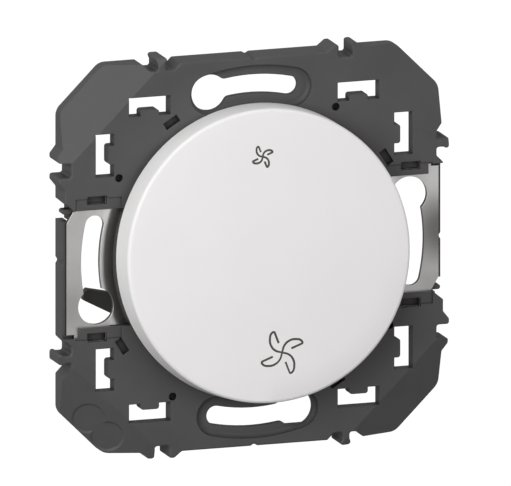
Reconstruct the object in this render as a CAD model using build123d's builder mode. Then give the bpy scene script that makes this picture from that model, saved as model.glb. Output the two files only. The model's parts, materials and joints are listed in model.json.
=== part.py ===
from build123d import *
import os
from math import cos, degrees, radians, sin, sqrt, tan

os.makedirs("parts", exist_ok=True)

# All sizes are in millimetres. The wall is the XZ plane, the switch faces -Y,
# and every height is measured out from the wall towards the front.

# Mounting frame
frame_size = 70.0
frame_depth = 5.4
panel = 2.4
skirt = 2.4
corner_cut = 8.0
corner_round = 2.5
outline_round = 0.45
edge_round = 0.35
flap_length = 7.1
flap_drop = 3.1
pocket_corner = 12.6
mark_diameter = 6.0
mark_edge = 2.6
mark_sink = 0.25
mark_slope = 0.35
mark_pitch = 4.9
mark_shift = 1.25
rib = 1.2
rib_gap = 1.45
ring_edge = 9.4
ring_width = 4.0

# Dovetails that join neighbouring frames
dovetail_offset = 17.0
dovetail_reach = 1.1
dovetail_sink = 1.2
dovetail_head = 2.4
dovetail_neck = 1.4
dovetail_play = 0.1
recess_width = 4.4
recess_ramp = 1.2
horn_width = 1.0
horn_slant = 1.4
centre_nick = 1.2
nick_sink = 0.4

# Curved keyhole slots for the box screws
slot_edge = 5.0
slot_width = 3.4
entry_diameter = 6.6
entry_round = 1.2
entry_angle = 15.3
tail_angle = 13.0
band_margin = 0.3
band_width = 7.2
band_sink = 1.2
band_round = 0.8

# Slots, pockets and blind holes for the front plate's clips
clip_edge = 5.7
clip_corner = 2.75
clip_length = 7.7
clip_slot = 2.3
clip_leg = 1.1
clip_tab = 3.4
tab_round = 0.5
pocket_edge = 6.2
pocket_length = 2.9
pocket_width = 1.35
pocket_sink = 1.0
pocket_angle = 32.0
pin_edge = 5.8
pin_diameter = 1.4
pin_sink = 1.6
pin_angle = 58.9

# Steel plates in the side windows
plate = 0.8
plate_sink = 1.0
plate_inset = 0.6
plate_play = 0.1
entry_margin = 0.4
tail_margin = 1.15
tongue_wall = 0.85
tongue_width = 6.6
tongue_inset = 2.0
lip = 2.1
lip_width = 8.5
lip_sink = 0.25
dish_run = 1.6
dish_drop = 0.95
dish_round = 2.5
hook_width = 1.5
hook_length = 1.2
corner_bevel = 1.4
corner_run = 2.4
locator_length = 3.6
locator_width = 1.5
locator_inset = 4.0
locator_tip = 1.25
rail = 1.3
rail_gap = 2.4
rail_gap_end = 0.25
rail_gap_slant = 1.35
rail_wall = 0.8
nub = 0.9
nub_reach = 1.6
nub_drop = 0.35

# Rocker: the cap, its cradle and the trunnions it turns on
rocker_tilt = 4.8
pivot_height = 1.3
cap_front = 14.8
cap_crown = 1.0
cap_overlap = 0.8
cap_draft = 0.3
cap_rim_gap = 0.35
cap_wall = 1.6
cap_top = 1.6
cap_edge = 0.7
cap_rib = 1.0
cap_rib_depth = 1.4
cap_rib_start = 17.0
cap_rib_count = 8
cradle_plate = 1.6
cradle_length = 26.0
cradle_height = 24.0
cradle_width = 20.8
cheek = 2.0
cheek_spread = 12.0
trunnion_diameter = 3.0
trunnion_reach = 2.6
trunnion_boss = 6.0
bearing_play = 0.05
side_play = 0.6
web = 1.6
snap_offset = 7.0
snap_width = 5.0
snap_arm = 1.4
snap_catch = 0.8
snap_depth = 1.2
snap_play = 0.1

# Plunger and its spring
tube_diameter = 7.0
tube_bore = 4.2
tube_end = -5.0
spring_seat = 4.8
plunger_play = 0.15
plunger_shoulder = -2.2
plunger_spigot = 1.5
plunger_cone = 0.75
tip_radius = 1.5
tip_gap = 0.05
spring_wire = 0.5
spring_play = 0.25
spring_pitch = 1.3

# Cover
cover_flange = 1.2
cover_overlap = 1.6
cover_round = 0.4
cover_play = 0.2
opening_height = 14.8
bearing_wall = 2.4
bearing_height = 6.8
screw_inset = 2.6
screw_z = 11.0
screw_diameter = 2.0
screw_head = 3.8
screw_head_height = 1.3
screw_cross = 2.3
screw_cross_slot = 0.6
screw_play = 0.1
screw_bite = 4.5

# See-saw contact
blade_tilt = 4.0
blade_axis = -9.9
blade_thickness = 1.0
blade_width = 5.0
blade_round = 1.6
blade_length = 22.0
blade_ear = 1.2
blade_ear_length = 4.0
ridge_radius = 0.6
ridge_play = 0.05
groove_depth = 0.3
contact_offset = 9.5
contact_diameter = 3.2
contact_lift = 0.9
contact_dome = 3.0
contact_gap = 0.04
fixed_contact = 0.8

# Terminals, their chambers and wire clamps
strip = 0.8
pad_width = 6.0
common_pad_reach = 1.8
common_pad_drop = 0.5
pad_rest = 0.9
leg_width = 18.0
chamber_height = 9.5
chamber_wall = 2.25
chamber_depth = 7.6
clamp_strip = 0.5
clamp_width = 16.0
clamp_anchor = 4.6
clamp_bend = 1.2
clamp_tip_gap = 0.6
clamp_angle = 27.0
wire_entry = 3.2
wire_offset = 6.0
wire_from_leg = 2.1
pusher_width = 4.0
pusher_height = 2.6
pusher_from_wall = 3.0
pusher_proud = 1.2
pusher_play = 0.1
pusher_collar = 0.6
pusher_bevel = 0.3
pusher_gap = 0.15

# Housing
flange = 1.6
flange_margin = 1.0
shell = 1.6
tray_gap = 0.4
front_width = 42.0
front_height = 40.0
front_floor = -4.4
rear_width = 27.0
rear_corner = 2.4
rear_round = 0.8
rear_wall = 1.8
boss_wall = 1.4
lug_reach = 28.25
lug_thickness = 1.6
lug_tip_top = 6.9
lug_tip_bottom = 8.9
lug_root_top = 8.7
lug_root_bottom = 13.6
lug_bevel = 0.7
entry_chamfer = 0.5

# Positions that follow from the sizes above
half = frame_size / 2
panel_back = frame_depth - panel
ring_radius = half - ring_edge
centre_hole_radius = ring_radius - ring_width
bend_distance = (frame_size - corner_cut) / sqrt(2) - flap_length
slot_radius = half - slot_edge
clip_inner = half - clip_edge - clip_slot - clip_leg
clip_offset = clip_inner - clip_corner - clip_length / 2
rib_offset = clip_offset - clip_length / 2 - rib_gap
plate_front = frame_depth - plate_sink
plate_back = plate_front - plate
plate_edge = half - plate_inset
window_entry_end = slot_radius * sin(radians(entry_angle)) + entry_diameter / 2 + entry_margin
window_tail_end = slot_radius * sin(radians(tail_angle)) + slot_width / 2 + tail_margin
rail_end = window_tail_end + rail_gap_end - rail_gap
tongue = clip_offset - clip_length / 2 - tongue_wall - window_entry_end
dish_radius = ring_radius + dish_run
cap_rim_radius = ring_radius + cap_overlap
cap_face_radius = cap_rim_radius - cap_draft
rim_swing = cap_rim_radius * sin(radians(rocker_tilt))
rim_rise = frame_depth + cap_rim_gap - pivot_height + rim_swing
cap_rim_height = pivot_height + rim_rise / cos(radians(rocker_tilt))
ceiling = cap_front - cap_crown - cap_top
cradle_back = ceiling - cradle_plate
cover_front = frame_depth + cover_flange
cover_radius = centre_hole_radius + cover_overlap
opening_width = cradle_width + 2 * side_play
bearing_inner = opening_width / 2
blade_back = blade_axis + ridge_radius + ridge_play - groove_depth
blade_front = blade_back + blade_thickness
tip_height = blade_front + tip_gap + tip_radius
dome_centre = blade_back - contact_lift + contact_dome - blade_axis
dome_swing = dome_centre * cos(radians(blade_tilt)) - contact_offset * sin(radians(blade_tilt))
fixed_front = blade_axis + dome_swing - contact_dome - contact_gap
pad_front = fixed_front - fixed_contact
pad_back = pad_front - strip
chamber_floor = pad_back - chamber_depth
housing_back = chamber_floor - rear_wall
inner_height = 3 * chamber_height + 2 * chamber_wall
rear_height = inner_height + 2 * shell
inner_width = rear_width - 2 * shell
chamber_step = chamber_height + chamber_wall
# Each chamber's name, the wall that its clamp leans on, and the way up from that wall to the terminal
chambers = [
    ("common", -chamber_height / 2, 1),
    ("high", chamber_step - chamber_height / 2, 1),
    ("low", -chamber_step + chamber_height / 2, -1),
]
trunnion_axis = Axis((0, -pivot_height, 0), (1, 0, 0))
blade_hinge = Axis((0, -blade_axis, 0), (1, 0, 0))
screw_x = sqrt((centre_hole_radius - screw_inset) ** 2 - screw_z**2)
screw_places = [(x, z) for x in (-screw_x, screw_x) for z in (-screw_z, screw_z)]

# Views to draw in: across the front axis, seen from the side, and a half section about the front axis
side_view = Plane((0, 0, 0), x_dir=(0, 0, 1), z_dir=(1, 0, 0))
half_section = Plane((0, 0, 0), x_dir=(1, 0, 0), z_dir=(0, 0, -1))


def at(height):
    return Plane.XZ.offset(height)


def slot_arc(angle, extra=0.0):
    reach = degrees(extra / slot_radius)
    return Edge.make_circle(
        slot_radius, start_angle=angle - tail_angle - reach, end_angle=angle + entry_angle + reach
    )


def keyhole(angle):
    SlotArc(slot_arc(angle), slot_width)
    with PolarLocations(slot_radius, 1, start_angle=angle + entry_angle):
        Circle(entry_diameter / 2)


def save(solid, name):
    solid.label = name
    export_step(solid, f"parts/{name}.step")


def pressed(piece):
    return piece.part.rotate(trunnion_axis, -rocker_tilt)


# One clip slot, drawn about the middle of its inner side: a bar with two legs beside a tab
with BuildSketch() as clip_outline:
    Rectangle(clip_length, clip_slot + clip_leg, align=(Align.CENTER, Align.MIN))
    Rectangle(clip_tab, clip_leg, align=(Align.CENTER, Align.MIN), mode=Mode.SUBTRACT)
    fillet(clip_outline.vertices().group_by(Axis.Y)[1], tab_round)

# One window, drawn for the left side: from the rail to the ring around the mechanism
with BuildSketch() as window_outline:
    with Locations((-half, -window_entry_end)):
        Rectangle(half, window_entry_end + window_tail_end, align=Align.MIN)
    Circle(ring_radius, mode=Mode.SUBTRACT)

tongue_left = -half + tongue_inset
tongue_span = window_entry_end + window_tail_end + 2 * tongue
with BuildSketch() as tongue_outline:
    with Locations((tongue_left, -window_entry_end - tongue)):
        Rectangle(tongue_width, tongue_span, align=Align.MIN)

with BuildSketch() as tongue_slot:
    add(tongue_outline.sketch)
    offset(amount=plate_play, kind=Kind.INTERSECTION)

locator_places = [
    (tongue_left + locator_inset, window_tail_end + tongue - locator_tip),
    (tongue_left + locator_inset, -window_entry_end - tongue + locator_tip),
]

# The two moulded keyholes, with the corners beside their entries rounded
with BuildSketch() as moulded_keyholes:
    for angle in (90, 270):
        keyhole(angle)
        corner_angle = radians(angle + entry_angle / 2)
        corner_place = (slot_radius * cos(corner_angle), slot_radius * sin(corner_angle), 0)
        fillet(moulded_keyholes.vertices().sort_by_distance(corner_place)[:2], entry_round)

# The sunken bands around these keyholes, with a rounded floor
with BuildPart() as slot_bands:
    with BuildSketch(at(frame_depth)):
        for angle in (90, 270):
            SlotArc(slot_arc(angle, band_margin), band_width)
    extrude(amount=-band_sink)
    fillet(slot_bands.faces().group_by(Axis.Y)[-1].edges(), band_round)

# Mounting frame
male = -dovetail_offset
female = dovetail_offset
notch = dovetail_head / 2 + dovetail_play
horn = notch + horn_width
recess = recess_width / 2
front = Vector(0, -1, 0)
lower_left = Vector(-1, 0, -1).normalized()
downhill = lower_left * flap_length - front * flap_drop
flap_normal = front * flap_length + lower_left * flap_drop
mark_place = lower_left * bend_distance + front * frame_depth + downhill * (1 - mark_edge / flap_length)
with BuildPart() as mounting_frame:
    with BuildSketch(at(0)) as frame_outline:
        Rectangle(frame_size, frame_size)
        chamfer(frame_outline.vertices(), corner_cut)
        fillet(frame_outline.vertices(), corner_round)
        with PolarLocations(0, 4):
            Polygon(
                (male - recess, half - dovetail_sink),
                (male + recess, half - dovetail_sink),
                (male + recess + recess_ramp, half),
                (male - recess - recess_ramp, half),
                align=None,
                mode=Mode.SUBTRACT,
            )
            Polygon(
                (male - dovetail_neck / 2, half - dovetail_sink - dovetail_play),
                (male + dovetail_neck / 2, half - dovetail_sink - dovetail_play),
                (male + dovetail_neck / 2, half),
                (male + dovetail_head / 2, half + dovetail_reach),
                (male - dovetail_head / 2, half + dovetail_reach),
                (male - dovetail_neck / 2, half),
                align=None,
            )
            Polygon(
                (female - horn - horn_slant, half),
                (female + horn + horn_slant, half),
                (female + horn, half + dovetail_reach),
                (female - horn, half + dovetail_reach),
                align=None,
            )
            Polygon(
                (female - notch, half - dovetail_sink),
                (female + notch, half - dovetail_sink),
                (female + notch, half + dovetail_reach),
                (female - notch, half + dovetail_reach),
                align=None,
                mode=Mode.SUBTRACT,
            )
            Polygon(
                (0, half - nick_sink),
                (centre_nick / 2, half),
                (-centre_nick / 2, half),
                align=None,
                mode=Mode.SUBTRACT,
            )
        joint_corners = frame_outline.vertices().filter_by(
            lambda corner: min(abs(corner.X), abs(corner.Y)) < half - corner_cut - corner_round
        )
        fillet(joint_corners, outline_round)
    extrude(amount=frame_depth)
    fillet(mounting_frame.faces().sort_by(Axis.Y)[0].edges(), edge_round)
    # Corner flaps slope back to the cut corners
    for corner in (45, 135, 225, 315):
        outward = (cos(radians(corner)), 0, sin(radians(corner)))
        across = (sin(radians(corner)), 0, -cos(radians(corner)))
        with BuildSketch(Plane((0, 0, 0), x_dir=outward, z_dir=across)):
            Polygon(
                (bend_distance, frame_depth),
                (bend_distance + 2 * flap_length, frame_depth - 2 * flap_drop),
                (bend_distance + 2 * flap_length, frame_depth),
                align=None,
            )
        extrude(amount=half, both=True, mode=Mode.SUBTRACT)
    # Two ejector marks on the lower left flap, open towards the cut corner
    with Locations(Plane(mark_place, x_dir=downhill, z_dir=flap_normal)):
        with Locations((0, mark_shift)):
            with GridLocations(0, mark_pitch, 1, 2):
                Cone(
                    mark_diameter / 2 - mark_slope,
                    mark_diameter / 2,
                    mark_sink,
                    align=(Align.CENTER, Align.CENTER, Align.MAX),
                    mode=Mode.SUBTRACT,
                )
    # Hollow back with stiffening ribs, and the hole that the mechanism sits in
    with BuildSketch(at(0)) as back_pocket:
        Rectangle(frame_size - 2 * skirt, frame_size - 2 * skirt)
        chamfer(back_pocket.vertices(), pocket_corner - skirt)
    extrude(amount=panel_back, mode=Mode.SUBTRACT)
    with BuildSketch(at(0)):
        with PolarLocations(0, 4):
            with Locations((rib_offset, half - skirt), (-rib_offset, half - skirt)):
                Rectangle(rib, half - skirt - rib_offset, align=(Align.CENTER, Align.MAX))
        with PolarLocations(ring_radius, 4, start_angle=45):
            Rectangle(bend_distance - ring_radius + flap_length / 2, rib, align=(Align.MIN, Align.CENTER))
    extrude(amount=panel_back)
    with BuildSketch(at(0)):
        Circle(ring_radius)
    extrude(amount=panel_back, mode=Mode.SUBTRACT)
    with BuildSketch(at(0)):
        Circle(centre_hole_radius)
    extrude(amount=frame_depth, mode=Mode.SUBTRACT)
    # Screw slots in their bands at the top and bottom, and the clip slots
    add(slot_bands.part, mode=Mode.SUBTRACT)
    with BuildSketch(at(0)):
        add(moulded_keyholes.sketch)
        with PolarLocations(0, 4):
            with Locations((clip_offset, clip_inner), (-clip_offset, clip_inner)):
                add(clip_outline.sketch)
    extrude(amount=frame_depth, mode=Mode.SUBTRACT)
    # Shallow pockets and blind pin holes for the front plate
    with BuildSketch(at(frame_depth)):
        with PolarLocations(half - pocket_edge, 4, start_angle=pocket_angle):
            Rectangle(pocket_width, pocket_length)
    extrude(amount=-pocket_sink, mode=Mode.SUBTRACT)
    with BuildSketch(at(frame_depth)):
        with PolarLocations(half - pin_edge, 4, start_angle=pin_angle):
            Circle(pin_diameter / 2)
    extrude(amount=-pin_sink, mode=Mode.SUBTRACT)
    # Side windows: open behind, with a seat on the rail, lips at both ends and tongue slots under them
    with BuildSketch(at(frame_depth)):
        with PolarLocations(0, 2):
            with Locations((tongue_left, window_tail_end), (tongue_left, -window_entry_end)):
                Rectangle(lip_width, 2 * lip, align=(Align.MIN, Align.CENTER))
    extrude(amount=-lip_sink, mode=Mode.SUBTRACT)
    with BuildSketch(at(0)):
        with PolarLocations(0, 2):
            add(window_outline.sketch)
        Rectangle(frame_size - 2 * skirt, frame_size, mode=Mode.INTERSECT)
        with PolarLocations(0, 2):
            with Locations((-half + rail, -window_entry_end)):
                Rectangle(skirt - rail, window_entry_end + rail_end, align=Align.MIN)
    extrude(amount=frame_depth, mode=Mode.SUBTRACT)
    with BuildSketch(at(plate_back)):
        with PolarLocations(0, 2):
            add(window_outline.sketch)
            with Locations((-half, -window_entry_end)):
                Rectangle(hook_width + 2 * plate_inset, hook_length + plate_inset, align=(Align.MIN, Align.MAX))
    extrude(amount=frame_depth - plate_back, mode=Mode.SUBTRACT)
    with BuildSketch(at(plate_back - plate_play)):
        with PolarLocations(0, 2):
            add(tongue_slot.sketch)
    extrude(amount=plate + 2 * plate_play, mode=Mode.SUBTRACT)
    with BuildSketch(at(plate_front)):
        with PolarLocations(0, 2):
            with Locations(*locator_places):
                Rectangle(locator_length, locator_width)
    extrude(amount=plate_sink, mode=Mode.SUBTRACT)
    # The rail stops short of the lip, with a small nub in the gap
    with BuildSketch(at(0)):
        with PolarLocations(0, 2):
            Polygon(
                (-half, rail_end),
                (-half + skirt - rail_wall, rail_end),
                (-half + skirt - rail_wall, rail_end + rail_gap),
                (-half, rail_end + rail_gap + rail_gap_slant),
                align=None,
            )
    extrude(amount=frame_depth, mode=Mode.SUBTRACT)
    with BuildSketch(at(plate_back - plate_play)):
        with PolarLocations(0, 2):
            with Locations((-half + skirt - rail_wall, window_tail_end - nub_drop)):
                SlotOverall(2 * nub_reach, nub)
    extrude(amount=-nub_reach)
save(mounting_frame.part, "mounting_frame")

# Steel plates: flat, dished back around the mechanism, with a keyhole and tongues under the frame's lips
with BuildPart() as steel_plate:
    with BuildSketch(half_section) as plate_profile:
        Polygon(
            (ring_radius, plate_back - dish_drop),
            (dish_radius, plate_back),
            (frame_size, plate_back),
            (frame_size, plate_front),
            (dish_radius, plate_front),
            (ring_radius, plate_front - dish_drop),
            align=None,
        )
        fillet(plate_profile.vertices().group_by(Axis.X)[1], dish_round)
    revolve(axis=Axis.Y)
    with BuildSketch(at(0)):
        add(window_outline.sketch)
        Rectangle(2 * plate_edge, frame_size, mode=Mode.INTERSECT)
        with Locations((-half, window_tail_end), (-half, -window_entry_end)):
            Rectangle(2 * half, 2 * plate_play, mode=Mode.SUBTRACT)
        Circle(ring_radius + plate_play, mode=Mode.SUBTRACT)
        with Locations((-plate_edge, -window_entry_end + plate_inset)):
            Rectangle(hook_width, hook_length + plate_inset, align=(Align.MIN, Align.MAX))
        Polygon(
            (-plate_edge, window_tail_end),
            (-plate_edge, window_tail_end - corner_run),
            (-plate_edge + corner_bevel, window_tail_end),
            align=None,
            mode=Mode.SUBTRACT,
        )
        add(tongue_outline.sketch)
    extrude(amount=frame_depth, mode=Mode.INTERSECT)
    with BuildSketch(at(0)):
        keyhole(180)
        with Locations(*locator_places):
            Rectangle(locator_length, locator_width)
    extrude(amount=frame_depth, mode=Mode.SUBTRACT)
save(steel_plate.part, "steel_plate_left")
save(steel_plate.part.rotate(Axis.Y, 180), "steel_plate_right")

# Rocker cap, drawn level and then tilted with its top edge pressed in
snap_start = cradle_height / 2 + snap_play
snap_end = cradle_back - snap_play - snap_depth
with BuildPart() as rocker_cap:
    with BuildSketch(half_section) as cap_profile:
        with BuildLine():
            TangentArc((0, cap_front), (cap_face_radius, cap_front - cap_crown), tangent=(1, 0))
            Polyline(
                (cap_face_radius, cap_front - cap_crown),
                (cap_rim_radius, cap_rim_height),
                (cap_rim_radius - cap_wall, cap_rim_height),
                (cap_face_radius - cap_wall, ceiling),
                (0, ceiling),
                (0, cap_front),
            )
        make_face()
        rim_corner = cap_profile.vertices().sort_by_distance((cap_face_radius, cap_front - cap_crown))[0]
        fillet(rim_corner, cap_edge)
    revolve(axis=Axis.Y)
    with BuildSketch(at(ceiling)):
        with PolarLocations(cap_rib_start, cap_rib_count, start_angle=180 / cap_rib_count):
            rib_length = cap_face_radius - cap_wall / 2 - cap_rib_start
            Rectangle(rib_length, cap_rib, align=(Align.MIN, Align.CENTER))
    extrude(amount=-cap_rib_depth)
    for side in (-1, 1):
        with BuildSketch(side_view):
            with BuildLine():
                Polyline(
                    (side * snap_start, ceiling),
                    (side * snap_start, cradle_back - snap_play),
                    (side * (snap_start - snap_catch), cradle_back - snap_play),
                    (side * snap_start, snap_end),
                    (side * (snap_start + snap_arm), snap_end),
                    (side * (snap_start + snap_arm), ceiling),
                    close=True,
                )
            make_face()
        extrude(amount=snap_offset + snap_width / 2, both=True)
    with BuildSketch(at(snap_end)):
        Rectangle(2 * snap_offset - snap_width, 2 * (snap_start + snap_arm))
    extrude(amount=ceiling - snap_end, mode=Mode.SUBTRACT)
save(pressed(rocker_cap), "rocker_cap")

# Rocker cradle: plate, two cheeks with trunnions, and the plunger tube on a cross web
with BuildPart() as rocker_cradle:
    with BuildSketch(at(cradle_back)):
        RectangleRounded(cradle_length, cradle_height, cheek)
    extrude(amount=cradle_plate)
    with BuildSketch(at(tube_end)):
        Circle(tube_diameter / 2)
    extrude(amount=cradle_back - tube_end)
    with BuildSketch(at(pivot_height)):
        Rectangle(cradle_width, web)
    extrude(amount=cradle_back - pivot_height)
    for side in (-1, 1):
        with BuildSketch(side_view.offset(side * cradle_width / 2)):
            with Locations((0, pivot_height)):
                Circle(trunnion_boss / 2)
            with Locations((0, cradle_back)):
                Rectangle(cheek_spread, cheek, align=(Align.CENTER, Align.MAX))
            make_hull()
        extrude(amount=-side * cheek)
        with BuildSketch(side_view.offset(side * cradle_width / 2)):
            with Locations((0, pivot_height)):
                Circle(trunnion_diameter / 2)
        extrude(amount=side * trunnion_reach)
    with BuildSketch(at(tube_end)):
        Circle(tube_bore / 2)
    extrude(amount=spring_seat - tube_end, mode=Mode.SUBTRACT)
save(pressed(rocker_cradle), "rocker_cradle")

# Plunger: guided in the tube, with a round tip that wipes over the blade
plunger_radius = tube_bore / 2 - plunger_play
spring_radius = tube_bore / 2 - spring_play - spring_wire / 2
spigot_radius = spring_radius - spring_wire / 2 - spring_play
with BuildPart() as plunger:
    with BuildSketch(half_section):
        with BuildLine():
            Line((0, tip_height - tip_radius), (0, plunger_shoulder + plunger_spigot))
            Polyline(
                (0, plunger_shoulder + plunger_spigot),
                (spigot_radius, plunger_shoulder + plunger_spigot),
                (spigot_radius, plunger_shoulder),
                (plunger_radius, plunger_shoulder),
                (plunger_radius, tip_height + plunger_cone),
                (tip_radius, tip_height),
            )
            CenterArc((0, tip_height), tip_radius, 0, -90)
        make_face()
    revolve(axis=Axis.Y)
save(pressed(plunger), "plunger")

# Plunger spring between the shoulder and the end of the bore
spring_start = plunger_shoulder + spring_wire / 2
spring_length = spring_seat - plunger_shoulder - spring_wire
with BuildPart() as plunger_spring:
    with BuildLine() as coil:
        Helix(spring_pitch, spring_length, spring_radius, center=(0, -spring_start, 0), direction=(0, -1, 0))
    with BuildSketch(Plane(origin=coil.line @ 0, z_dir=coil.line % 0)):
        Circle(spring_wire / 2)
    sweep(path=coil.line, is_frenet=True)
save(pressed(plunger_spring), "plunger_spring")

# Cover: flange in front of the frame, plug through its hole, bearings for the trunnions behind
with BuildPart() as mechanism_cover:
    with BuildSketch(at(panel_back)):
        Circle(centre_hole_radius - cover_play)
    extrude(amount=panel)
    with BuildSketch(at(frame_depth)):
        Circle(cover_radius)
    extrude(amount=cover_flange)
    fillet(mechanism_cover.faces().sort_by(Axis.Y)[0].edges(), cover_round)
    with BuildSketch(at(panel_back)):
        Rectangle(opening_width, opening_height)
    extrude(amount=cover_front - panel_back, mode=Mode.SUBTRACT)
    for side in (-1, 1):
        with BuildSketch(side_view.offset(side * bearing_inner)):
            with Locations((0, pivot_height)):
                Circle(bearing_height / 2)
            with Locations((0, panel_back)):
                Rectangle(bearing_height, panel_back - pivot_height, align=(Align.CENTER, Align.MAX))
            with Locations((0, pivot_height)):
                Circle(trunnion_diameter / 2 + bearing_play, mode=Mode.SUBTRACT)
            with Locations((0, panel_back)):
                Rectangle(bearing_height, bearing_height, align=(Align.CENTER, Align.MIN), mode=Mode.SUBTRACT)
        extrude(amount=side * bearing_wall)
    with Locations(at(cover_front)):
        with Locations(*screw_places):
            CounterBoreHole(
                screw_diameter / 2 + screw_play,
                screw_head / 2 + screw_play,
                screw_head_height + screw_play,
            )
save(mechanism_cover.part, "mechanism_cover")

# Cover screws, sunk in the cover and driven into the housing's bosses
screw_seat = cover_front - screw_head_height - screw_play
with BuildPart() as housing_screws:
    with BuildSketch(at(screw_seat)):
        with Locations(*screw_places):
            Circle(screw_head / 2)
    extrude(amount=screw_head_height)
    with BuildSketch(at(screw_seat)):
        with Locations(*screw_places):
            Circle(screw_diameter / 2)
    extrude(amount=panel_back - screw_bite - screw_seat)
    with BuildSketch(at(screw_seat + screw_head_height)):
        with Locations(*screw_places):
            Rectangle(screw_cross, screw_cross_slot)
            Rectangle(screw_cross_slot, screw_cross)
    extrude(amount=-screw_head_height / 2, mode=Mode.SUBTRACT)
save(housing_screws.part, "housing_screws")

# Housing: flange behind the frame, wide front tray, and a rear block with three terminal chambers
tray_radius = ring_radius - tray_gap
boss_radius = screw_diameter / 2 + screw_play + boss_wall
rear_face = Plane((0, -housing_back, 0), x_dir=(1, 0, 0), z_dir=(0, 1, 0))
wire_step = chamber_height - strip - wire_from_leg
wire_places = [
    (x, wall + way * wire_step) for _, wall, way in chambers for x in (-wire_offset, wire_offset)
]
pusher_places = [(0, wall + way * pusher_from_wall) for _, wall, way in chambers]
with BuildPart() as mechanism_housing:
    with BuildSketch(at(panel_back)):
        Circle(ring_radius - flange_margin)
    extrude(amount=-flange)
    with BuildSketch(at(panel_back - flange)):
        Circle(tray_radius)
        Rectangle(front_width, front_height, mode=Mode.INTERSECT)
    extrude(amount=front_floor - shell - panel_back + flange)
    with BuildSketch(at(front_floor)):
        RectangleRounded(rear_width, rear_height, rear_corner)
    extrude(amount=housing_back - front_floor)
    fillet(mechanism_housing.faces().sort_by(Axis.Y)[-1].edges(), rear_round)
    with BuildSketch(at(panel_back)):
        Circle(tray_radius - shell)
        Rectangle(front_width - 2 * shell, front_height - 2 * shell, mode=Mode.INTERSECT)
        with Locations(*screw_places):
            Circle(boss_radius, mode=Mode.SUBTRACT)
    extrude(amount=front_floor - panel_back, mode=Mode.SUBTRACT)
    with BuildSketch(at(front_floor)):
        Rectangle(inner_width, inner_height)
    extrude(amount=pad_back - front_floor, mode=Mode.SUBTRACT)
    with BuildSketch(at(pad_back)):
        with GridLocations(0, chamber_step, 1, 3):
            Rectangle(inner_width, chamber_height)
    extrude(amount=-chamber_depth, mode=Mode.SUBTRACT)
    with BuildSketch(at(panel_back)):
        with Locations(*screw_places):
            Circle(screw_diameter / 2 + screw_play)
    extrude(amount=-screw_bite - screw_play, mode=Mode.SUBTRACT)
    # Side lugs for claw fixings, one pointing each way
    with BuildSketch(at(front_floor)):
        with PolarLocations(0, 2):
            Polygon(
                (-lug_reach, -lug_tip_top - lug_bevel),
                (-lug_reach, -lug_tip_bottom),
                (-front_width / 2 + shell, -lug_root_bottom),
                (-front_width / 2 + shell, -lug_root_top),
                (-lug_reach + lug_bevel, -lug_tip_top),
                align=None,
            )
    extrude(amount=-lug_thickness)
    # Wire entries and pusher holes through the rear wall
    with Locations(rear_face):
        with Locations(*[(x, -z) for x, z in wire_places]):
            CounterSinkHole(wire_entry / 2, wire_entry / 2 + entry_chamfer, rear_wall)
    with BuildSketch(at(chamber_floor)):
        with Locations(*pusher_places):
            Rectangle(pusher_width + 2 * pusher_play, pusher_height + 2 * pusher_play)
    extrude(amount=-rear_wall, mode=Mode.SUBTRACT)
save(mechanism_housing.part, "mechanism_housing")

# Terminals: a leg down the chamber's far wall, and a pad for the blade's ridge or the fixed contact
for name, wall, way in chambers:
    leg_face = wall + way * chamber_height
    leg_back = leg_face - way * strip
    pad_end = -common_pad_reach if name == "common" else wall - way * pad_rest
    pad_top = blade_axis - common_pad_drop if name == "common" else pad_front
    with BuildPart() as terminal:
        with BuildSketch(side_view):
            with Locations(((leg_face + leg_back) / 2, chamber_floor)):
                Rectangle(strip, pad_top - chamber_floor, align=(Align.CENTER, Align.MIN))
        extrude(amount=leg_width / 2, both=True)
        with BuildSketch(side_view):
            with Locations(((leg_face + pad_end) / 2, pad_top)):
                Rectangle(abs(leg_face - pad_end), strip, align=(Align.CENTER, Align.MAX))
            if name == "common":
                with Locations((0, blade_axis)):
                    Circle(ridge_radius)
                    Rectangle(2 * ridge_radius, common_pad_drop, align=(Align.CENTER, Align.MAX))
        extrude(amount=pad_width / 2, both=True)
    save(terminal.part, "common_terminal" if name == "common" else f"{name}_speed_terminal")

# Wire clamps: a strip that leans on the wall, bends over and presses towards the terminal's leg
bend_centre = clamp_strip / 2 + clamp_bend
limb_start = bend_centre + clamp_bend * sin(radians(clamp_angle))
limb_top = chamber_floor + clamp_anchor + clamp_bend * cos(radians(clamp_angle))
limb_end = chamber_height - strip - clamp_tip_gap - clamp_strip / 2
limb_bottom = limb_top - (limb_end - limb_start) * tan(radians(clamp_angle))
for name, wall, way in chambers:
    foot = wall + way * clamp_strip / 2
    with BuildPart() as clamp_spring:
        with BuildSketch(side_view):
            with BuildLine() as bent_strip:
                Line((foot, chamber_floor), (foot, chamber_floor + clamp_anchor))
                ThreePointArc(
                    (foot, chamber_floor + clamp_anchor),
                    (wall + way * bend_centre - way * clamp_bend * cos(radians(45)),
                     chamber_floor + clamp_anchor + clamp_bend * sin(radians(45))),
                    (wall + way * limb_start, limb_top),
                )
                Line((wall + way * limb_start, limb_top), (wall + way * limb_end, limb_bottom))
            trace(line_width=clamp_strip)
        extrude(amount=clamp_width / 2, both=True)
    save(clamp_spring.part, f"clamp_spring_{name}")

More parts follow.
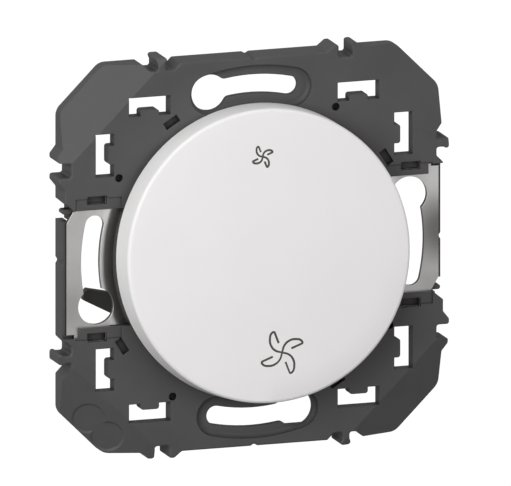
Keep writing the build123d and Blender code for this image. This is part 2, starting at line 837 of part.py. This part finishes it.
# Release pushers: a collar inside keeps each one in its hole
pusher_top = pusher_from_wall + pusher_height / 2
pusher_tip = limb_top - (pusher_top - limb_start) * tan(radians(clamp_angle))
pusher_tip -= clamp_strip / 2 / cos(radians(clamp_angle)) + pusher_gap
for name, wall, way in chambers:
    with BuildPart() as release_pusher:
        with BuildSketch(at(housing_back - pusher_proud)):
            with Locations((0, wall + way * pusher_from_wall)):
                Rectangle(pusher_width, pusher_height)
        extrude(amount=pusher_tip - housing_back + pusher_proud)
        chamfer(release_pusher.faces().sort_by(Axis.Y)[-1].edges(), pusher_bevel)
        with BuildSketch(at(chamber_floor)):
            with Locations((0, wall + way * pusher_from_wall)):
                Rectangle(pusher_width + 2 * pusher_collar, pusher_height + 2 * pusher_collar)
        extrude(amount=pusher_collar)
    save(release_pusher.part, f"release_pusher_{name}")

# Fixed contacts on the two outer pads
with BuildPart() as fixed_contact_tips:
    with BuildSketch(at(pad_front)):
        with Locations((0, contact_offset), (0, -contact_offset)):
            Circle(contact_diameter / 2)
    extrude(amount=fixed_contact)
save(fixed_contact_tips.part, "fixed_contact_tips")

# See-saw blade, drawn level and then tilted on to the low-speed contact
with BuildPart() as contact_blade:
    with BuildSketch(at(blade_back)):
        RectangleRounded(blade_width, blade_length, blade_round)
        Rectangle(blade_width + 2 * blade_ear, blade_ear_length)
    extrude(amount=blade_thickness)
    with BuildSketch(side_view):
        with Locations((0, blade_axis)):
            Circle(ridge_radius + ridge_play)
    extrude(amount=blade_width, both=True, mode=Mode.SUBTRACT)
save(contact_blade.part.rotate(blade_hinge, blade_tilt), "contact_blade")

# Domed silver tips on the ends of the blade
dome_rise = contact_dome - sqrt(contact_dome**2 - (contact_diameter / 2) ** 2)
with BuildPart() as moving_contact_tips:
    for end in (-contact_offset, contact_offset):
        with BuildSketch(Plane((0, 0, end), x_dir=(1, 0, 0), z_dir=(0, 0, -1))):
            with BuildLine():
                Polyline(
                    (0, blade_back - contact_lift),
                    (0, blade_back),
                    (contact_diameter / 2, blade_back),
                    (contact_diameter / 2, blade_back - contact_lift + dome_rise),
                )
                RadiusArc(
                    (contact_diameter / 2, blade_back - contact_lift + dome_rise),
                    (0, blade_back - contact_lift),
                    contact_dome,
                )
            make_face()
        revolve(axis=Axis((0, 0, end), (0, 1, 0)))
save(moving_contact_tips.part.rotate(blade_hinge, blade_tilt), "moving_contact_tips")
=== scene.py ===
import bpy
import json
from math import cos, pi, radians, sin
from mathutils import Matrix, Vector


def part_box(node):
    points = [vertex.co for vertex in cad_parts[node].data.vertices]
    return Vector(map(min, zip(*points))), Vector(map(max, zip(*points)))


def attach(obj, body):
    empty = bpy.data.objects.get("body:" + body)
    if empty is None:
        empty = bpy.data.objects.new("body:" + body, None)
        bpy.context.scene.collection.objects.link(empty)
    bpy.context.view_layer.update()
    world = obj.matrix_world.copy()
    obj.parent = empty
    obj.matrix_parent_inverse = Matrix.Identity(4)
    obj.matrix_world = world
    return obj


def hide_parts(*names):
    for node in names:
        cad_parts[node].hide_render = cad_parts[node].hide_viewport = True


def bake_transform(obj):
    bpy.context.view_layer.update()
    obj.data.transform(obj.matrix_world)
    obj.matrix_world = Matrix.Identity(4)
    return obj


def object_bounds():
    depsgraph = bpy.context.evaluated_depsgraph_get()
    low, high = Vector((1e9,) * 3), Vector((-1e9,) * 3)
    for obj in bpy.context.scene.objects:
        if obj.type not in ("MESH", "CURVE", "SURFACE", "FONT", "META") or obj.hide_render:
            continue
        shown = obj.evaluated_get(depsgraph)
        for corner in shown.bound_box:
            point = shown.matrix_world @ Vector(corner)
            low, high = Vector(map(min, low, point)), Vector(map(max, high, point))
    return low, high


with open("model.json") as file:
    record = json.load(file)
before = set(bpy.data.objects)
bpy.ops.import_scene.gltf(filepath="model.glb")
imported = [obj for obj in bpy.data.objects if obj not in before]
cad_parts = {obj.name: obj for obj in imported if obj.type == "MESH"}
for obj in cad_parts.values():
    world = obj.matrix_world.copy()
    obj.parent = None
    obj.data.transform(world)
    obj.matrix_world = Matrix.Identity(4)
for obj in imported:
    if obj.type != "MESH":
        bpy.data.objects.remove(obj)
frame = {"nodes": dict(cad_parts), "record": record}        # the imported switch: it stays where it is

cadNodes = frame["nodes"]
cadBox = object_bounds()
mm = 0.001        # the frame is in metres
print("frame loaded:", len(cadNodes), "nodes")


# camera: a long lens seen as parallel rays, from the left and a little above
cameraView = {
    "turn": 18.4,                # degrees to the left of straight ahead
    "rise": 13.12,               # degrees above level
    "pixelsPerMm": 5.699,
    "imageWidth": 511,
    "imageHeight": 486,
    "frontPixel": (254.3, 251.7),        # where the middle of the frame's front face falls
    "distance": 600 * mm,
}


def addCamera(values):
    turn, rise = radians(values["turn"]), radians(values["rise"])
    towards = Vector((-sin(turn) * cos(rise), -cos(turn) * cos(rise), sin(rise)))
    right = Vector((cos(turn), -sin(turn), 0))
    up = towards.cross(right)
    front = Vector((0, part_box("mounting_frame")[0].y, 0))
    metresPerPixel = mm / values["pixelsPerMm"]
    acrossPixels = values["imageWidth"] / 2 - values["frontPixel"][0]
    downPixels = values["imageHeight"] / 2 - values["frontPixel"][1]
    target = front + (right * acrossPixels - up * downPixels) * metresPerPixel
    bpy.ops.object.camera_add(location=target + towards * values["distance"])
    camera = bpy.context.object
    camera.name = "photo_camera"
    camera.rotation_euler = (-towards).to_track_quat("-Z", "Y").to_euler()
    camera.data.type = "ORTHO"
    camera.data.ortho_scale = values["imageWidth"] * metresPerPixel
    bpy.context.scene.camera = camera


addCamera(cameraView)
bpy.context.scene.view_settings.view_transform = "Standard"
print("camera placed")


# node helpers for the studio and the materials
def mapRange(tree, value, low, high, lowResult=0, highResult=1, shape="LINEAR"):
    spread = tree.nodes.new("ShaderNodeMapRange")
    spread.interpolation_type = shape
    spread.inputs["From Min"].default_value = low
    spread.inputs["From Max"].default_value = high
    spread.inputs["To Min"].default_value = lowResult
    spread.inputs["To Max"].default_value = highResult
    tree.links.new(value, spread.inputs["Value"])
    return spread.outputs["Result"]


def mixColors(tree, factor, first, second):
    # first where the factor is 0, second where it is 1: each a color of its own or the output of a node
    mix = tree.nodes.new("ShaderNodeMix")
    mix.data_type = "RGBA"
    for label, color in (("A", first), ("B", second)):
        if isinstance(color, tuple):
            mix.inputs[label].default_value = (*color, 1)
        else:
            tree.links.new(color, mix.inputs[label])
    tree.links.new(factor, mix.inputs["Factor"])
    return mix.outputs["Result"]


def mixShaders(tree, factor, first, second):
    mix = tree.nodes.new("ShaderNodeMixShader")
    tree.links.new(factor, mix.inputs["Fac"])
    tree.links.new(first.outputs[0], mix.inputs[1])
    tree.links.new(second.outputs[0], mix.inputs[2])
    return mix


# studio: a pale even room, soft boxes on the left, in front and above, a card on the right, a white floor
studio = {
    "lights": [
        # name, place, width and height in metres, power in watts, color
        ("left_side", (-0.80, -0.05, 0.15), 0.60, 0.60, 1.50, (1, 0.98, 0.97)),
        ("left_front", (-0.42, -0.52, 0.22), 0.45, 0.45, 3.05, (1, 0.995, 0.995)),
        ("front_soft", (0.05, -1.00, 0.20), 0.80, 0.60, 2.30, (1, 0.93, 0.945)),
        ("right_card", (0.80, -0.20, 0.15), 0.60, 0.60, 1.00, (1, 0.91, 0.925)),
        ("top_soft", (-0.05, 0.0, 0.60), 0.50, 0.40, 0.40, (1, 1, 1)),
    ],
    "aim": (0, -0.006, 0),
    "roomTop": (0.62, 0.62, 0.62),
    "roomBottom": (0.36, 0.36, 0.36),
    "roomStrength": 0.72,
    "backdrop": (1, 1, 1),         # what the camera sees past the floor
    "floorSize": 4.0,
    "floorColor": (0.18, 0.18, 0.18),
    "floorSheen": 0.37,            # what the steel mirrors of it
    "floorGlow": 1.1,              # what the camera sees of it
    "floorShade": 0.06,            # how much of a shadow the white floor shows
}


def addLights(values):
    for name, place, width, height, power, color in values["lights"]:
        bpy.ops.object.light_add(type="AREA", location=place)
        light = bpy.context.object
        light.name = name
        light.data.shape = "RECTANGLE"
        light.data.size = width
        light.data.size_y = height
        light.data.energy = power
        light.data.color = color
        aim = Vector(values["aim"]) - Vector(place)
        light.rotation_euler = aim.to_track_quat("-Z", "Y").to_euler()


def addRoom(values):
    world = bpy.data.worlds.new("pale_room")
    bpy.context.scene.world = world
    world.use_nodes = True
    tree = world.node_tree
    tree.nodes.clear()
    output = tree.nodes.new("ShaderNodeOutputWorld")
    coords = tree.nodes.new("ShaderNodeTexCoord")
    split = tree.nodes.new("ShaderNodeSeparateXYZ")
    tree.links.new(coords.outputs["Generated"], split.inputs[0])
    height = mapRange(tree, split.outputs["Z"], -1, 1)        # straight down to straight up
    room = tree.nodes.new("ShaderNodeBackground")
    room.inputs["Strength"].default_value = values["roomStrength"]
    tree.links.new(mixColors(tree, height, values["roomBottom"], values["roomTop"]), room.inputs["Color"])
    plain = tree.nodes.new("ShaderNodeBackground")
    plain.inputs["Color"].default_value = (*values["backdrop"], 1)
    path = tree.nodes.new("ShaderNodeLightPath")
    seen = mixShaders(tree, path.outputs["Is Camera Ray"], room, plain)
    tree.links.new(seen.outputs[0], output.inputs["Surface"])


def addFloor(values):
    bpy.ops.object.select_all(action="DESELECT")
    bpy.ops.mesh.primitive_plane_add(size=values["floorSize"], location=(0, 0, cadBox[0].z))
    floor = bpy.context.object
    floor.name = "floor"
    bpy.ops.object.transform_apply(location=True)
    material = bpy.data.materials.new("white_floor")
    material.use_nodes = True
    tree = material.node_tree
    tree.nodes.clear()
    output = tree.nodes.new("ShaderNodeOutputMaterial")
    paint = tree.nodes.new("ShaderNodeBsdfDiffuse")
    paint.inputs["Color"].default_value = (*values["floorColor"], 1)
    sheen = tree.nodes.new("ShaderNodeEmission")
    sheen.inputs["Strength"].default_value = values["floorSheen"]
    glow = tree.nodes.new("ShaderNodeEmission")
    glow.inputs["Strength"].default_value = values["floorGlow"]
    path = tree.nodes.new("ShaderNodeLightPath")
    share = tree.nodes.new("ShaderNodeMath")
    share.operation = "MULTIPLY"
    share.inputs[1].default_value = 1 - values["floorShade"]
    tree.links.new(path.outputs["Is Camera Ray"], share.inputs[0])
    mirrored = mixShaders(tree, path.outputs["Is Glossy Ray"], paint, sheen)
    seen = mixShaders(tree, share.outputs[0], mirrored, glow)
    tree.links.new(seen.outputs[0], output.inputs["Surface"])
    floor.data.materials.append(material)


addLights(studio)
addRoom(studio)
addFloor(studio)
print("studio lit")


# shared surface effects, the first three of them node groups
effects = {
    "grainNoise": (3, 0.65),             # detail and roughness of the noise
    "cloudNoise": (4, 0.5),
    "lineNoise": (4, 0.7),
    "waveNoise": (2, 0.5),
    "lineStretch": (1, 1, 0.03),         # rolling lines are long in Z
    "cavityShadeSamples": 8,
    "cavityShadeBand": (0.36, 0.88),          # how open a pocket's bottom and a free face are
    "noiseBand": (0.25, 0.75),           # where most of a noise lies
    "edgeSamples": 6,
    "cutBand": (0.35, 0.65),             # how far along Y a cut edge and a rolled face look
    "plasticSpread": 0.05,               # roughness varies by this, up and down
    "metalSpread": 0.07,
}


def newGroup(name, inputs, outputs):
    group = bpy.data.node_groups.new(name, "ShaderNodeTree")
    for side, sockets in (("INPUT", inputs), ("OUTPUT", outputs)):
        for label, kind in sockets:
            group.interface.new_socket(label, in_out=side, socket_type=kind)
    return group, group.nodes.new("NodeGroupInput"), group.nodes.new("NodeGroupOutput")


def addNoise(tree, vector, scale, detail, roughness):
    noise = tree.nodes.new("ShaderNodeTexNoise")
    noise.inputs["Detail"].default_value = detail
    noise.inputs["Roughness"].default_value = roughness
    tree.links.new(vector, noise.inputs["Vector"])
    tree.links.new(scale, noise.inputs["Scale"])
    return noise.outputs["Fac"]


def makeMouldGrain(values):
    # spark-eroded mould texture: fine pits, and slow clouds where the melt flowed
    group, enter, leave = newGroup(
        "mouldGrain",
        [("Vector", "NodeSocketVector"), ("Grain per m", "NodeSocketFloat"), ("Clouds per m", "NodeSocketFloat")],
        [("Height", "NodeSocketFloat"), ("Clouds", "NodeSocketFloat")],
    )
    vector = enter.outputs["Vector"]
    pits = addNoise(group, vector, enter.outputs["Grain per m"], *values["grainNoise"])
    clouds = addNoise(group, vector, enter.outputs["Clouds per m"], *values["cloudNoise"])
    group.links.new(pits, leave.inputs["Height"])
    group.links.new(clouds, leave.inputs["Clouds"])
    return group


def makeRolledSheet(values):
    # rolling lines drawn out along one axis, and the slow waves that no sheet is free of
    group, enter, leave = newGroup(
        "rolledSheet",
        [("Vector", "NodeSocketVector"), ("Lines per m", "NodeSocketFloat"), ("Waves per m", "NodeSocketFloat")],
        [("Lines", "NodeSocketFloat"), ("Waves", "NodeSocketFloat")],
    )
    vector = enter.outputs["Vector"]
    drawn = group.nodes.new("ShaderNodeMapping")
    drawn.inputs["Scale"].default_value = values["lineStretch"]
    group.links.new(vector, drawn.inputs["Vector"])
    lines = addNoise(group, drawn.outputs["Vector"], enter.outputs["Lines per m"], *values["lineNoise"])
    waves = addNoise(group, vector, enter.outputs["Waves per m"], *values["waveNoise"])
    group.links.new(lines, leave.inputs["Lines"])
    group.links.new(waves, leave.inputs["Waves"])
    return group


def makeCavityShade(values):
    # mask for the painted shade in hollows: 1 on open faces, 0 at the bottom of pockets, holes and narrow slots
    # of the same piece
    group, enter, leave = newGroup("cavityShade", [("Reach", "NodeSocketFloat")], [("Open", "NodeSocketFloat")])
    openness = group.nodes.new("ShaderNodeAmbientOcclusion")
    openness.only_local = True
    openness.samples = values["cavityShadeSamples"]
    group.links.new(enter.outputs["Reach"], openness.inputs["Distance"])
    group.links.new(mapRange(group, openness.outputs["AO"], *values["cavityShadeBand"]), leave.inputs["Open"])
    return group


def spreadNoise(tree, noise, low, high):
    return mapRange(tree, noise, *effects["noiseBand"], low, high)


def softEdgeBump(tree, surface, height, values):
    # the moulded or punched edge is never sharp: the normal rounds it off, then the grain goes on top
    edge = tree.nodes.new("ShaderNodeBevel")
    edge.samples = effects["edgeSamples"]
    edge.inputs["Radius"].default_value = values["edge"]
    bump = tree.nodes.new("ShaderNodeBump")
    bump.inputs["Strength"].default_value = values["strength"]
    bump.inputs["Distance"].default_value = values["depth"]
    tree.links.new(height, bump.inputs["Height"])
    tree.links.new(edge.outputs["Normal"], bump.inputs["Normal"])
    tree.links.new(bump.outputs["Normal"], surface.inputs["Normal"])


def paintCutEdgeShade(tree, color, cutEdgeShadeColor):
    # the rolled faces look along Y, the sheared edges stand square to them and are painted dark: partly their
    # duller cut finish, partly painted shade on the edge walls
    coords = tree.nodes.new("ShaderNodeTexCoord")
    split = tree.nodes.new("ShaderNodeSeparateXYZ")
    flat = tree.nodes.new("ShaderNodeMath")
    flat.operation = "ABSOLUTE"
    tree.links.new(coords.outputs["Normal"], split.inputs[0])
    tree.links.new(split.outputs["Y"], flat.inputs[0])
    return mixColors(tree, mapRange(tree, flat.outputs[0], *effects["cutBand"]), cutEdgeShadeColor, color)


def paintReflectionPatches(tree, vector, color, reflectionPatches):
    # painted reflections: dark and bright soft patches in the base colour stand in for what the plates mirror
    for place, core, reach, tone in reflectionPatches:
        away = tree.nodes.new("ShaderNodeVectorMath")
        away.operation = "DISTANCE"
        away.inputs[1].default_value = place
        tree.links.new(vector, away.inputs[0])
        beyond = mapRange(tree, away.outputs["Value"], core, reach, shape="SMOOTHSTEP")
        color = mixColors(tree, beyond, tone, color)
    return color


def paintDishHighlightAndShade(tree, vector, color, dishHighlightAndShade):
    # round the middle, where the die drew the plate down: a painted highlight along the bend, then painted dark
    # reflection and shade nearer the cap
    flat = tree.nodes.new("ShaderNodeVectorMath")
    flat.operation = "MULTIPLY"
    flat.inputs[1].default_value = (1, 0, 1)        # round the Y axis
    radius = tree.nodes.new("ShaderNodeVectorMath")
    radius.operation = "LENGTH"
    tree.links.new(vector, flat.inputs[0])
    tree.links.new(flat.outputs["Vector"], radius.inputs[0])
    for full, end, tone in dishHighlightAndShade:
        beyond = mapRange(tree, radius.outputs["Value"], full, end, shape="SMOOTHSTEP")
        color = mixColors(tree, beyond, tone, color)
    return color


mouldGrain = makeMouldGrain(effects)
rolledSheet = makeRolledSheet(effects)
cavityShade = makeCavityShade(effects)


# materials
def startMaterial(name):
    material = bpy.data.materials.new(name)
    material.use_nodes = True
    tree = material.node_tree
    coords = tree.nodes.new("ShaderNodeTexCoord")
    return material, tree, tree.nodes["Principled BSDF"], coords.outputs["Object"]


def placeGroup(tree, group, vector=None, **values):
    node = tree.nodes.new("ShaderNodeGroup")
    node.node_tree = group
    if vector:
        tree.links.new(vector, node.inputs["Vector"])
    for label, value in values.items():
        node.inputs[label.replace("_", " ")].default_value = value
    return node


def mouldedPlastic(name, values):
    material, tree, surface, vector = startMaterial(name)
    grain = placeGroup(tree, mouldGrain, vector, Grain_per_m=values["grain"], Clouds_per_m=values["clouds"])
    clouds, spread = grain.outputs["Clouds"], effects["plasticSpread"]
    color = mixColors(tree, spreadNoise(tree, clouds, 0, 1), values["dark"], values["light"])
    rough = spreadNoise(tree, clouds, values["rough"] - spread, values["rough"] + spread)
    # painted shade: the bottoms of pockets, holes and narrow slots are darkened in the base colour
    if "cavityShade" in values:
        pockets = placeGroup(tree, cavityShade, Reach=values["reach"])
        color = mixColors(tree, pockets.outputs["Open"], values["cavityShade"], color)
    tree.links.new(color, surface.inputs["Base Color"])
    tree.links.new(rough, surface.inputs["Roughness"])
    surface.inputs["Specular IOR Level"].default_value = values["shine"]
    softEdgeBump(tree, surface, grain.outputs["Height"], values)
    return material


def sheetMetal(name, values):
    material, tree, surface, vector = startMaterial(name)
    rolled = placeGroup(tree, rolledSheet, vector, Lines_per_m=values["lines"], Waves_per_m=values["waves"])
    lines, spread = rolled.outputs["Lines"], effects["metalSpread"]
    color = mixColors(tree, spreadNoise(tree, rolled.outputs["Waves"], 0, 1), values["dark"], values["light"])
    rough = spreadNoise(tree, lines, values["rough"] - spread, values["rough"] + spread)
    if "cut" in values:
        # painted reflections in soft patches
        color = paintReflectionPatches(tree, vector, color, values["reflectionPatches"])
        # painted highlight and painted shade round the dish
        color = paintDishHighlightAndShade(tree, vector, color, values["dishHighlightAndShade"])
        # painted shade on the sheared edges, over their duller cut finish
        color = paintCutEdgeShade(tree, color, values["cut"])
    tree.links.new(color, surface.inputs["Base Color"])
    tree.links.new(rough, surface.inputs["Roughness"])
    surface.inputs["Metallic"].default_value = 1
    surface.inputs["Anisotropic"].default_value = values["drawn"]
    softEdgeBump(tree, surface, lines, values)
    return material


finishes = {
    "frame_plastic": (mouldedPlastic, {
        "dark": (0.072, 0.0715, 0.072), "light": (0.084, 0.0835, 0.0835), "rough": 0.52, "shine": 0.25,
        # painted shade: the colour that the bottoms of pockets and slots are darkened to
        "cavityShade": (0.017, 0.017, 0.017), "reach": 1.7 * mm,
        "grain": 5200, "clouds": 140, "edge": 0.25 * mm, "depth": 0.012 * mm, "strength": 0.5,
    }),
    "housing_plastic": (mouldedPlastic, {
        "dark": (0.056, 0.055, 0.053), "light": (0.068, 0.067, 0.065), "rough": 0.58, "shine": 0.3,
        "grain": 4200, "clouds": 120, "edge": 0.16 * mm, "depth": 0.015 * mm, "strength": 0.5,
    }),
    "cap_plastic": (mouldedPlastic, {
        "dark": (0.80, 0.80, 0.80), "light": (0.825, 0.825, 0.822), "rough": 0.58, "shine": 0.18,
        "grain": 2600, "clouds": 60, "edge": 0.10 * mm, "depth": 0.004 * mm, "strength": 0.25,
    }),
    "cradle_plastic": (mouldedPlastic, {
        "dark": (0.66, 0.66, 0.64), "light": (0.72, 0.72, 0.70), "rough": 0.45, "shine": 0.4,
        "grain": 3600, "clouds": 150, "edge": 0.12 * mm, "depth": 0.008 * mm, "strength": 0.4,
    }),
    "pusher_plastic": (mouldedPlastic, {
        "dark": (0.70, 0.20, 0.035), "light": (0.80, 0.26, 0.05), "rough": 0.42, "shine": 0.4,
        "grain": 4000, "clouds": 300, "edge": 0.10 * mm, "depth": 0.008 * mm, "strength": 0.4,
    }),
    "plate_steel": (sheetMetal, {
        # cut: painted shade on the sheared edges, over their duller cut finish
        "dark": (0.66, 0.66, 0.645), "light": (0.82, 0.82, 0.805), "cut": (0.16, 0.155, 0.15),
        "rough": 0.34, "drawn": 0.4,
        # painted reflections: a dark middle, a bright top and a dimmer foot on the right plate, a dimmer foot on
        # the left one
        "reflectionPatches": [
            # place, core, reach, tone
            ((35 * mm, -4 * mm, 1.5 * mm), 1 * mm, 8 * mm, (0.27, 0.27, 0.255)),
            ((34 * mm, -4 * mm, 11 * mm), 0.5 * mm, 5 * mm, (0.95, 0.95, 0.94)),
            ((33 * mm, -4 * mm, -8 * mm), 0.2 * mm, 3 * mm, (0.64, 0.635, 0.61)),
            ((-34 * mm, -4 * mm, -8 * mm), 0.5 * mm, 6 * mm, (0.60, 0.60, 0.585)),
        ],
        # painted highlight along the dish's bend, then painted dark reflection and shade nearer the cap
        "dishHighlightAndShade": [
            # radius where the tone is full, radius where it ends, tone
            (28.0 * mm, 29.4 * mm, (0.98, 0.98, 0.97)),
            (26.0 * mm, 28.2 * mm, (0.45, 0.42, 0.40)),
        ],
        "lines": 7000, "waves": 70, "edge": 0.10 * mm, "depth": 0.008 * mm, "strength": 0.35,
    }),
    "spring_steel": (sheetMetal, {
        "dark": (0.42, 0.42, 0.42), "light": (0.56, 0.56, 0.56), "rough": 0.30, "drawn": 0.3,
        "lines": 6000, "waves": 200, "edge": 0.06 * mm, "depth": 0.006 * mm, "strength": 0.3,
    }),
    "screw_steel": (sheetMetal, {
        "dark": (0.54, 0.55, 0.56), "light": (0.68, 0.68, 0.67), "rough": 0.33, "drawn": 0.0,
        "lines": 5000, "waves": 300, "edge": 0.08 * mm, "depth": 0.006 * mm, "strength": 0.3,
    }),
    "terminal_brass": (sheetMetal, {
        "dark": (0.66, 0.46, 0.19), "light": (0.82, 0.62, 0.31), "rough": 0.30, "drawn": 0.3,
        "lines": 6000, "waves": 180, "edge": 0.08 * mm, "depth": 0.006 * mm, "strength": 0.3,
    }),
    "contact_silver": (sheetMetal, {
        "dark": (0.78, 0.77, 0.74), "light": (0.90, 0.89, 0.86), "rough": 0.24, "drawn": 0.0,
        "lines": 5000, "waves": 400, "edge": 0.06 * mm, "depth": 0.004 * mm, "strength": 0.3,
    }),
}


def dressNodes():
    made = {slot: make(slot, values) for slot, (make, values) in finishes.items()}
    for part in frame["record"]["subparts"]:
        node = cadNodes[part["node"]]
        node.data.materials.clear()
        node.data.materials.append(made[part["material_slot"]])


dressNodes()
print("materials on all nodes")


# mesh helpers
def selectOnly(piece):
    bpy.ops.object.select_all(action="DESELECT")
    piece.select_set(True)
    bpy.context.view_layer.objects.active = piece


def startEdit():
    bpy.ops.object.mode_set(mode="EDIT")
    bpy.ops.mesh.select_all(action="SELECT")


def endEdit():
    bpy.ops.object.mode_set(mode="OBJECT")


# welded copies with fresh normals stand for a few nodes: the domed ones close cleanly at the pole,
# and the clamp springs get cross lines to bend along
welding = {
    "near": 0.001 * mm,               # points this close become one
    "smoothAngle": radians(30),       # sharper edges than this stay hard
    "domes": [
        # node, body, slot
        ("rocker_cap", "rocker", "cap_plastic"),
        ("plunger", "rocker", "cradle_plastic"),
        ("moving_contact_tips", "see_saw", "contact_silver"),
    ],
}


def weldedCopy(values, nodeName, cuts):
    piece = bpy.data.objects.new(nodeName + "_welded", cadNodes[nodeName].data.copy())
    bpy.context.collection.objects.link(piece)
    selectOnly(piece)
    bpy.ops.mesh.customdata_custom_splitnormals_clear()
    startEdit()
    bpy.ops.mesh.remove_doubles(threshold=values["near"])
    for height in cuts:
        bpy.ops.mesh.select_all(action="SELECT")
        bpy.ops.mesh.bisect(plane_co=(0, 0, height), plane_no=(0, 0, 1))
    endEdit()
    bpy.ops.object.shade_smooth_by_angle(angle=values["smoothAngle"])
    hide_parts(nodeName)
    return piece


domes = {}
for nodeName, body, slot in welding["domes"]:
    domes[nodeName] = weldedCopy(welding, nodeName, [])
    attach(domes[nodeName], body)
print("domes welded")


# each clamp spring is cut across from near where its release pusher goes in out to the tip of its limb
clampBend = {
    "springs": ["common", "low", "high"],
    "cuts": 12,
    "lead": 0.4 * mm,        # from the pusher's edge by the bend to where the limb starts to give
}


def bendClamp(values, name):
    nodeName = f"clamp_spring_{name}"
    springLow, springHigh = (corner.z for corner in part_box(nodeName))
    pusherLow, pusherHigh = (corner.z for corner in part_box(f"release_pusher_{name}"))
    if pusherLow - springLow < springHigh - pusherHigh:        # the limb rises from its wall
        start, end, tip = pusherLow + values["lead"], pusherHigh, springHigh
    else:
        start, end, tip = pusherHigh - values["lead"], pusherLow, springLow
    cuts = [start + (tip - start) * step / values["cuts"] for step in range(1, values["cuts"])]
    spring = weldedCopy(welding, nodeName, cuts)
    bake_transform(spring)


for name in clampBend["springs"]:
    bendClamp(clampBend, name)


# fan symbols printed on the cap: two S strokes that cross, each end turned back into a blade
fanSymbols = {
    "line": 0.41 * mm,           # width of the printed line
    "ink": 0.05 * mm,            # thickness of the bead of ink
    "bite": 0.012 * mm,          # the domed cap falls away under the ends of the lines
    "near": 0.0001 * mm,         # points this close become one
    "halfStroke": [(0.42, 1.20), (1.25, 1.93), (2.30, 2.17), (3.55, 1.76), (3.62, 1.33), (1.68, 0.60)],
    "curveSteps": 10,            # from one point of the stroke to the next
    "roundSteps": 3,             # round a quarter of the line
    "smoothAngle": radians(40),
    "places": [
        # name, across, up, size
        ("fan_symbol_large", 1.7 * mm, -16.0 * mm, 1.03),
        ("fan_symbol_small", -0.9 * mm, 18.8 * mm, 0.5),
    ],
    "color": (0.045, 0.042, 0.037),
    "fadedColor": (0.070, 0.066, 0.060),
    "grain": 9000,
    "clouds": 1500,
    "rough": (0.45, 0.6),
}


def strokeMesh(name, values, size):
    blade = [Vector((x, y)) * size * mm for x, y in values["halfStroke"]]
    path = [-point for point in reversed(blade)] + [Vector((0, 0))] + blade
    bpy.ops.object.select_all(action="DESELECT")
    bpy.ops.curve.primitive_bezier_curve_add()
    stroke = bpy.context.object
    stroke.name = name
    stroke.data.resolution_u = values["curveSteps"]
    stroke.data.bevel_depth = values["line"] / 2
    stroke.data.bevel_resolution = values["roundSteps"]
    stroke.data.use_fill_caps = True
    spline = stroke.data.splines[0]
    spline.bezier_points.add(len(path) - len(spline.bezier_points))
    last = len(path) - 1
    for index, (spot, place) in enumerate(zip(spline.bezier_points, path)):
        spot.co = (place.x, 0, place.y)
        spot.handle_left_type = "VECTOR" if index in (0, 1, last) else "AUTO"        # straight at both ends
        spot.handle_right_type = "VECTOR" if index in (0, last - 1, last) else "AUTO"
    bpy.ops.object.convert(target="MESH")
    startEdit()
    bpy.ops.transform.resize(value=(1, values["ink"] / values["line"], 1), center_override=(0, 0, 0))
    bpy.ops.mesh.remove_doubles(threshold=values["near"])        # joins the end caps to the line
    endEdit()
    return stroke


def addFanSymbol(values, name, across, up, size):
    first = strokeMesh(name, values, size)
    second = strokeMesh(name + "_cross", values, size)
    second.rotation_euler.y = pi / 2
    bpy.ops.object.transform_apply(rotation=True)
    selectOnly(first)
    union = first.modifiers.new("cross", "BOOLEAN")
    union.operation = "UNION"
    union.solver = "EXACT"
    union.object = second
    bpy.ops.object.modifier_apply(modifier=union.name)
    bpy.data.objects.remove(second)
    startEdit()
    bpy.ops.mesh.remove_doubles(threshold=values["near"])
    bpy.ops.mesh.select_all(action="SELECT")
    bpy.ops.mesh.dissolve_degenerate(threshold=values["near"])        # slivers along the crossing
    endEdit()
    start = Vector((across, 2 * cadBox[0].y, up))        # well in front of the cap
    spot, normal = domes["rocker_cap"].ray_cast(start, Vector((0, 1, 0)))[1:3]
    first.location = spot - normal * values["bite"]
    first.rotation_euler = Vector((0, -1, 0)).rotation_difference(normal).to_euler()
    bpy.ops.object.transform_apply(location=True, rotation=True)
    bpy.ops.object.shade_smooth_by_angle(angle=values["smoothAngle"])
    return first


def printInk(values):
    material, tree, surface, vector = startMaterial("symbol_ink")
    grain = placeGroup(tree, mouldGrain, vector, Grain_per_m=values["grain"], Clouds_per_m=values["clouds"])
    color = mixColors(tree, grain.outputs["Clouds"], values["color"], values["fadedColor"])
    tree.links.new(color, surface.inputs["Base Color"])
    rough = spreadNoise(tree, grain.outputs["Height"], *values["rough"])
    tree.links.new(rough, surface.inputs["Roughness"])
    return material


ink = printInk(fanSymbols)
for place in fanSymbols["places"]:
    symbol = addFanSymbol(fanSymbols, *place)
    symbol.data.materials.clear()
    symbol.data.materials.append(ink)
    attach(symbol, "rocker")
print("fan symbols printed")
